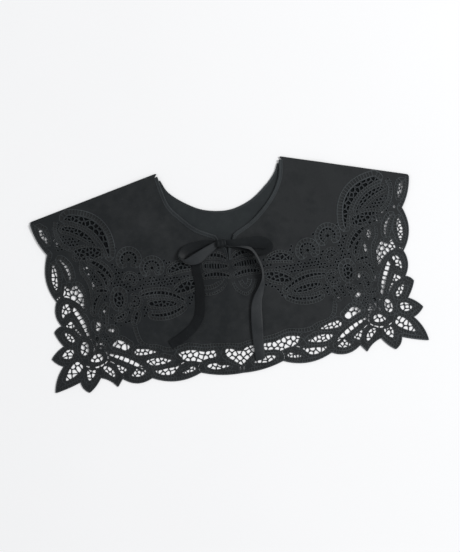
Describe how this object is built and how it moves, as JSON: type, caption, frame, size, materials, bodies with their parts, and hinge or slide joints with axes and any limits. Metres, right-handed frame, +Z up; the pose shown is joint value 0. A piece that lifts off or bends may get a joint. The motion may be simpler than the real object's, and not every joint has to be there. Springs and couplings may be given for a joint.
{
  "type": "lace collar",
  "caption": "Cape collar of black cotton with a wide cutwork border at sides and hem, laid flat and tied with a narrow ribbon bow.",
  "frame": {"origin": "the middle of the collar's bounding box, on the surface that it lies on", "axes": "+X across the collar towards the wearer's left, +Y from the front hem up to the neck, +Z up off the surface"},
  "size_m": [0.5233, 0.287, 0.0175],
  "materials": {
    "cotton": "black woven cotton with raised black embroidery, matt",
    "under_cotton": "the same black cotton, seen inside the neck and through the lace",
    "binding": "black bias strip, matt, edge stitched",
    "ribbon": "narrow black ribbon with a soft sheen"
  },
  "bodies": {
    "root": {"front_panel": "cotton", "back_panel": "under_cotton", "back_binding": "binding", "front_binding_right": "binding", "front_binding_left": "binding", "bow_knot": "ribbon", "bow_loop_left": "ribbon", "bow_loop_right": "ribbon", "bow_tail_left": "ribbon", "bow_tail_right": "ribbon"}
  },
  "joints": []
}
